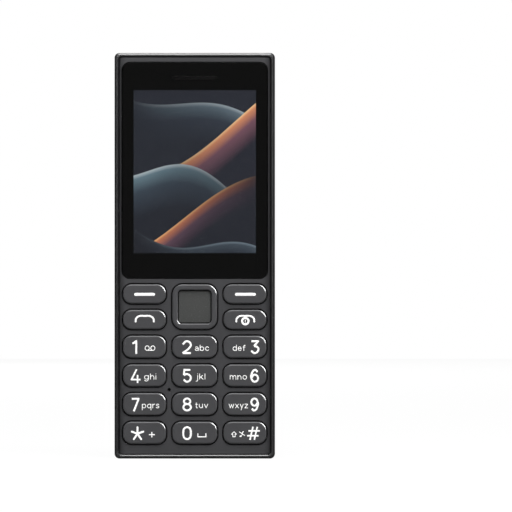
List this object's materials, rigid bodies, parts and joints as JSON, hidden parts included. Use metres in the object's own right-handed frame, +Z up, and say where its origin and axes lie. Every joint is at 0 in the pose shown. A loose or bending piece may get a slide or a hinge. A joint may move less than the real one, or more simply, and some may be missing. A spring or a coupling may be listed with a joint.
{
  "type": "feature phone",
  "caption": "Candybar mobile phone with a keypad, a four-way navigation ring, a small colour display and a lift-off rear cover over a removable battery.",
  "frame": {"origin": "centre of the bottom end that the phone stands on", "axes": "+X to the right seen from the front, +Y from the keys and display towards the back, +Z up along the phone from the keypad end to the earpiece end"},
  "size_m": [0.048, 0.014, 0.1214],
  "materials": {
    "front_housing": "satin dark grey moulded plastic",
    "keycaps": "satin dark grey keycaps",
    "nav_ring": "satin dark grey",
    "rear_cover": "satin black moulded plastic",
    "lens": "clear hard-coated window",
    "mask": "gloss black print",
    "tape": "black foam adhesive",
    "grille": "dark woven mesh",
    "panel": "display panel",
    "tray": "folded steel tray",
    "ribbon": "amber flexible circuit",
    "receiver": "steel capsule",
    "mat": "translucent silicone",
    "nav_pad": "stiff silicone pad",
    "domes": "bright spring steel",
    "board": "green solder resist",
    "microphone": "gold-plated can",
    "leds": "white lamps",
    "shields": "tinned steel",
    "holders": "stamped steel",
    "chassis": "black moulded plastic",
    "antenna": "copper film",
    "screws": "zinc-plated steel",
    "cell": "wrapped aluminium can",
    "cell_cap": "black plastic",
    "cell_pads": "gold-plated pads",
    "contacts": "black contact block",
    "jack": "black socket body",
    "usb_shell": "bright drawn shell",
    "usb_tongue": "black tongue",
    "torch_lens": "clear lens",
    "torch_led": "white lamp with yellow phosphor",
    "loudspeaker": "black speaker box",
    "speaker_mesh": "black woven mesh",
    "motor": "steel can"
  },
  "bodies": {
    "phone": {"front_housing": "front_housing", "display_lens": "lens", "lens_mask": "mask", "lens_tape": "tape", "earpiece_grille": "grille", "lcd_panel": "panel", "lcd_tray": "tray", "lcd_ribbon": "ribbon", "receiver": "receiver", "keypad_mat": "mat", "metal_domes": "domes", "main_board": "board", "microphone": "microphone", "keypad_leds": "leds", "shield_cans": "shields", "sim_holder_1": "holders", "sim_holder_2": "holders", "memory_card_holder": "holders", "chassis": "chassis", "antenna_film": "antenna", "chassis_screws": "screws", "battery_contacts": "contacts", "headset_jack": "jack", "usb_shell": "usb_shell", "usb_tongue": "usb_tongue", "torch_lens": "torch_lens", "torch_led": "torch_led", "loudspeaker": "loudspeaker", "speaker_mesh": "speaker_mesh", "vibration_motor": "motor"},
    "rear_cover": {"rear_cover": "rear_cover"},
    "battery": {"battery_cell": "cell", "battery_cap": "cell_cap", "battery_pads": "cell_pads"},
    "nav_pad": {"nav_pad": "nav_pad"},
    "nav_ring": {"nav_ring": "nav_ring"},
    "soft_key_left": {"soft_key_left": "keycaps"},
    "soft_key_right": {"soft_key_right": "keycaps"},
    "call_key": {"call_key": "keycaps"},
    "end_key": {"end_key": "keycaps"},
    "key_1": {"key_1": "keycaps"},
    "key_2": {"key_2": "keycaps"},
    "key_3": {"key_3": "keycaps"},
    "key_4": {"key_4": "keycaps"},
    "key_5": {"key_5": "keycaps"},
    "key_6": {"key_6": "keycaps"},
    "key_7": {"key_7": "keycaps"},
    "key_8": {"key_8": "keycaps"},
    "key_9": {"key_9": "keycaps"},
    "key_star": {"key_star": "keycaps"},
    "key_0": {"key_0": "keycaps"},
    "key_hash": {"key_hash": "keycaps"},
    "select_key": {"select_key": "keycaps"}
  },
  "joints": [
    {"name": "soft_key_left_press", "type": "slide", "parent": "phone", "child": "soft_key_left", "axis": [0, 1, 0], "range_m": [0, 0.0003], "stiffness_N_per_m": 2500},
    {"name": "soft_key_right_press", "type": "slide", "parent": "phone", "child": "soft_key_right", "axis": [0, 1, 0], "range_m": [0, 0.0003], "stiffness_N_per_m": 2500},
    {"name": "call_key_press", "type": "slide", "parent": "phone", "child": "call_key", "axis": [0, 1, 0], "range_m": [0, 0.0003], "stiffness_N_per_m": 2500},
    {"name": "end_key_press", "type": "slide", "parent": "phone", "child": "end_key", "axis": [0, 1, 0], "range_m": [0, 0.0003], "stiffness_N_per_m": 2500},
    {"name": "key_1_press", "type": "slide", "parent": "phone", "child": "key_1", "axis": [0, 1, 0], "range_m": [0, 0.0003], "stiffness_N_per_m": 2500},
    {"name": "key_2_press", "type": "slide", "parent": "phone", "child": "key_2", "axis": [0, 1, 0], "range_m": [0, 0.0003], "stiffness_N_per_m": 2500},
    {"name": "key_3_press", "type": "slide", "parent": "phone", "child": "key_3", "axis": [0, 1, 0], "range_m": [0, 0.0003], "stiffness_N_per_m": 2500},
    {"name": "key_4_press", "type": "slide", "parent": "phone", "child": "key_4", "axis": [0, 1, 0], "range_m": [0, 0.0003], "stiffness_N_per_m": 2500},
    {"name": "key_5_press", "type": "slide", "parent": "phone", "child": "key_5", "axis": [0, 1, 0], "range_m": [0, 0.0003], "stiffness_N_per_m": 2500},
    {"name": "key_6_press", "type": "slide", "parent": "phone", "child": "key_6", "axis": [0, 1, 0], "range_m": [0, 0.0003], "stiffness_N_per_m": 2500},
    {"name": "key_7_press", "type": "slide", "parent": "phone", "child": "key_7", "axis": [0, 1, 0], "range_m": [0, 0.0003], "stiffness_N_per_m": 2500},
    {"name": "key_8_press", "type": "slide", "parent": "phone", "child": "key_8", "axis": [0, 1, 0], "range_m": [0, 0.0003], "stiffness_N_per_m": 2500},
    {"name": "key_9_press", "type": "slide", "parent": "phone", "child": "key_9", "axis": [0, 1, 0], "range_m": [0, 0.0003], "stiffness_N_per_m": 2500},
    {"name": "key_star_press", "type": "slide", "parent": "phone", "child": "key_star", "axis": [0, 1, 0], "range_m": [0, 0.0003], "stiffness_N_per_m": 2500},
    {"name": "key_0_press", "type": "slide", "parent": "phone", "child": "key_0", "axis": [0, 1, 0], "range_m": [0, 0.0003], "stiffness_N_per_m": 2500},
    {"name": "key_hash_press", "type": "slide", "parent": "phone", "child": "key_hash", "axis": [0, 1, 0], "range_m": [0, 0.0003], "stiffness_N_per_m": 2500},
    {"name": "select_key_press", "type": "slide", "parent": "phone", "child": "select_key", "axis": [0, 1, 0], "range_m": [0, 0.0003], "stiffness_N_per_m": 2500},
    {"name": "nav_up_down", "type": "hinge", "parent": "phone", "child": "nav_pad", "pos_m": [0, -0.0042, 0.04544], "axis": [1, 0, 0], "range_deg": [-1.3, 1.3], "stiffness_Nm_per_rad": 0.3},
    {"name": "nav_left_right", "type": "hinge", "parent": "nav_pad", "child": "nav_ring", "pos_m": [0, -0.0042, 0.04544], "axis": [0, 0, 1], "range_deg": [-1.3, 1.3], "stiffness_Nm_per_rad": 0.3},
    {"name": "rear_cover_off", "type": "slide", "parent": "phone", "child": "rear_cover", "axis": [0, 1, 0], "range_m": [0, 0.04]},
    {"name": "battery_out", "type": "slide", "parent": "phone", "child": "battery", "axis": [0, 1, 0], "range_m": [0, 0.02]}
  ],
  "couplings": [
    {"joint": "battery_out", "follows": "rear_cover_off", "ratio": 0.5}
  ]
}
